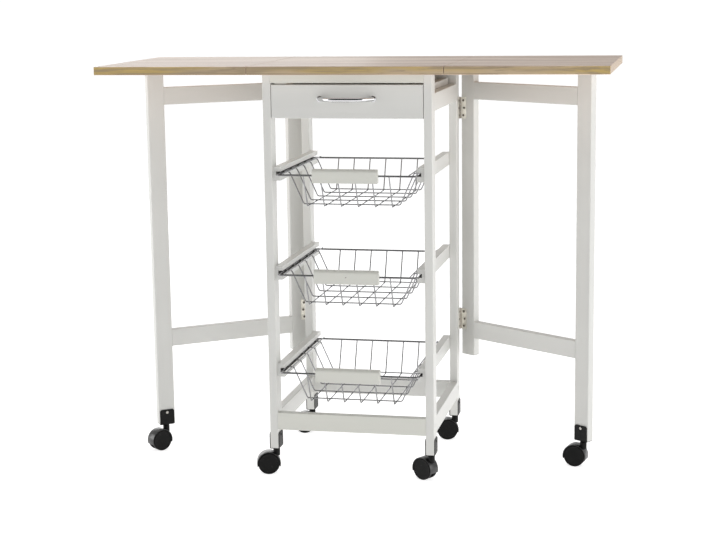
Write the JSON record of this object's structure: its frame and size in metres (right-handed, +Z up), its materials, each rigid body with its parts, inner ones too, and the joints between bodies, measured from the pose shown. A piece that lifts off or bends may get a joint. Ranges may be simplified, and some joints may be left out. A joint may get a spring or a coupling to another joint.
{
  "type": "kitchen cart",
  "caption": "Drop-leaf kitchen cart on twin-wheel casters, with a drawer, sliding wire baskets and hinged gates that swing out to carry the leaves.",
  "frame": {"origin": "on the floor, below the middle of the whole outer box (the drawer handle stands a little in front of the worktop, so the worktop's middle is 3.75 mm behind the origin)", "axes": "+X to the right as seen by the user at the drawer side, along the worktop; +Y to the back, away from the drawer; +Z up"},
  "size_m": [0.92, 0.3726, 0.75],
  "materials": {
    "painted_wood": "satin white paint on wood",
    "worktop": "light oak grain, satin",
    "drawer_board": "white faced hardboard",
    "wire": "bright plated wire",
    "handle": "polished",
    "hinge": "nickel plated",
    "saddle": "black",
    "caster_hood": "black, half gloss",
    "wheel": "black"
  },
  "bodies": {
    "frame": {"front_left_leg": "painted_wood", "front_right_leg": "painted_wood", "rear_left_leg": "painted_wood", "rear_right_leg": "painted_wood", "front_bottom_rail": "painted_wood", "rear_bottom_rail": "painted_wood", "left_bottom_side_rail": "painted_wood", "right_bottom_side_rail": "painted_wood", "front_top_rail": "painted_wood", "rear_top_rail": "painted_wood", "left_upper_side_rail": "painted_wood", "right_upper_side_rail": "painted_wood", "left_basket_strips": "painted_wood", "right_basket_strips": "painted_wood", "drawer_runners": "painted_wood", "centre_top": "worktop", "leg_hinge_halves": "hinge", "centre_top_hinge_halves": "hinge", "leg_saddles": "saddle"},
    "drawer": {"drawer_front": "painted_wood", "drawer_sides": "painted_wood", "drawer_back": "painted_wood", "drawer_bottom": "drawer_board", "drawer_handle": "handle"},
    "lower basket": {"lower_basket": "wire", "lower_basket_handle_board": "painted_wood"},
    "middle basket": {"middle_basket": "wire", "middle_basket_handle_board": "painted_wood"},
    "upper basket": {"upper_basket": "wire", "upper_basket_handle_board": "painted_wood"},
    "right gate": {"right_gate_stile": "painted_wood", "right_gate_leg": "painted_wood", "right_gate_upper_rail": "painted_wood", "right_gate_lower_rail": "painted_wood", "right_gate_hinge_halves": "hinge", "right_gate_saddle": "saddle"},
    "left gate": {"left_gate_stile": "painted_wood", "left_gate_leg": "painted_wood", "left_gate_upper_rail": "painted_wood", "left_gate_lower_rail": "painted_wood", "left_gate_hinge_halves": "hinge", "left_gate_saddle": "saddle"},
    "right flap": {"right_flap": "worktop", "right_flap_hinge_halves": "hinge"},
    "left flap": {"left_flap": "worktop", "left_flap_hinge_halves": "hinge"},
    "front left caster": {"front_left_caster_housing": "caster_hood"},
    "front left wheels": {"front_left_caster_wheels": "wheel"},
    "front right caster": {"front_right_caster_housing": "caster_hood"},
    "front right wheels": {"front_right_caster_wheels": "wheel"},
    "rear left caster": {"rear_left_caster_housing": "caster_hood"},
    "rear left wheels": {"rear_left_caster_wheels": "wheel"},
    "rear right caster": {"rear_right_caster_housing": "caster_hood"},
    "rear right wheels": {"rear_right_caster_wheels": "wheel"},
    "left gate caster": {"left_gate_caster_housing": "caster_hood"},
    "left gate wheels": {"left_gate_caster_wheels": "wheel"},
    "right gate caster": {"right_gate_caster_housing": "caster_hood"},
    "right gate wheels": {"right_gate_caster_wheels": "wheel"}
  },
  "joints": [
    {"name": "drawer slide", "type": "slide", "parent": "frame", "child": "drawer", "axis": [0, -1, 0], "range_m": [0, 0.22]},
    {"name": "lower basket slide", "type": "slide", "parent": "frame", "child": "lower basket", "axis": [0, -1, 0], "range_m": [0, 0.19]},
    {"name": "middle basket slide", "type": "slide", "parent": "frame", "child": "middle basket", "axis": [0, -1, 0], "range_m": [0, 0.19]},
    {"name": "upper basket slide", "type": "slide", "parent": "frame", "child": "upper basket", "axis": [0, -1, 0], "range_m": [0, 0.19]},
    {"name": "right gate hinge", "type": "hinge", "parent": "frame", "child": "right gate", "pos_m": [0.1541, 0.15235, 0.653], "axis": [0, 0, -1], "range_deg": [-13, 49.5]},
    {"name": "left gate hinge", "type": "hinge", "parent": "frame", "child": "left gate", "pos_m": [-0.1541, 0.15235, 0.653], "axis": [0, 0, 1], "range_deg": [-15, 45.5]},
    {"name": "right flap hinge", "type": "hinge", "parent": "frame", "child": "right flap", "pos_m": [0.176, 0.00375, 0.7324], "axis": [0, -1, 0], "range_deg": [0, 3]},
    {"name": "left flap hinge", "type": "hinge", "parent": "frame", "child": "left flap", "pos_m": [-0.176, 0.00375, 0.7324], "axis": [0, 1, 0], "range_deg": [0, 3]},
    {"name": "front left caster swivel", "type": "hinge", "parent": "frame", "child": "front left caster", "pos_m": [-0.145, -0.14425, 0.051], "axis": [0, 0, 1], "continuous": true},
    {"name": "front left wheel roll", "type": "hinge", "parent": "front left caster", "child": "front left wheels", "pos_m": [-0.15934, -0.14864, 0.02], "axis": [-0.2924, 0.9563, 0], "continuous": true},
    {"name": "front right caster swivel", "type": "hinge", "parent": "frame", "child": "front right caster", "pos_m": [0.145, -0.14425, 0.051], "axis": [0, 0, 1], "continuous": true},
    {"name": "front right wheel roll", "type": "hinge", "parent": "front right caster", "child": "front right wheels", "pos_m": [0.13201, -0.13675, 0.02], "axis": [0.5, 0.866, 0], "continuous": true},
    {"name": "rear left caster swivel", "type": "hinge", "parent": "frame", "child": "rear left caster", "pos_m": [-0.145, 0.13575, 0.051], "axis": [0, 0, 1], "continuous": true},
    {"name": "rear left wheel roll", "type": "hinge", "parent": "rear left caster", "child": "rear left wheels", "pos_m": [-0.15994, 0.13444, 0.02], "axis": [-0.0872, 0.9962, 0], "continuous": true},
    {"name": "rear right caster swivel", "type": "hinge", "parent": "frame", "child": "rear right caster", "pos_m": [0.145, 0.13575, 0.051], "axis": [0, 0, 1], "continuous": true},
    {"name": "rear right wheel roll", "type": "hinge", "parent": "rear right caster", "child": "rear right wheels", "pos_m": [0.13033, 0.13263, 0.02], "axis": [-0.2079, 0.9781, 0], "continuous": true},
    {"name": "left gate caster swivel", "type": "hinge", "parent": "left gate", "child": "left gate caster", "pos_m": [-0.40015, -0.02299, 0.051], "axis": [0, 0, 1], "continuous": true},
    {"name": "left gate wheel roll", "type": "hinge", "parent": "left gate caster", "child": "left gate wheels", "pos_m": [-0.4098, -0.03448, 0.02], "axis": [-0.766, 0.6428, 0], "continuous": true},
    {"name": "right gate caster swivel", "type": "hinge", "parent": "right gate", "child": "right gate caster", "pos_m": [0.40842, -0.01076, 0.051], "axis": [0, 0, 1], "continuous": true},
    {"name": "right gate wheel roll", "type": "hinge", "parent": "right gate caster", "child": "right gate wheels", "pos_m": [0.39375, -0.00764, 0.02], "axis": [0.2079, 0.9781, 0], "continuous": true}
  ]
}
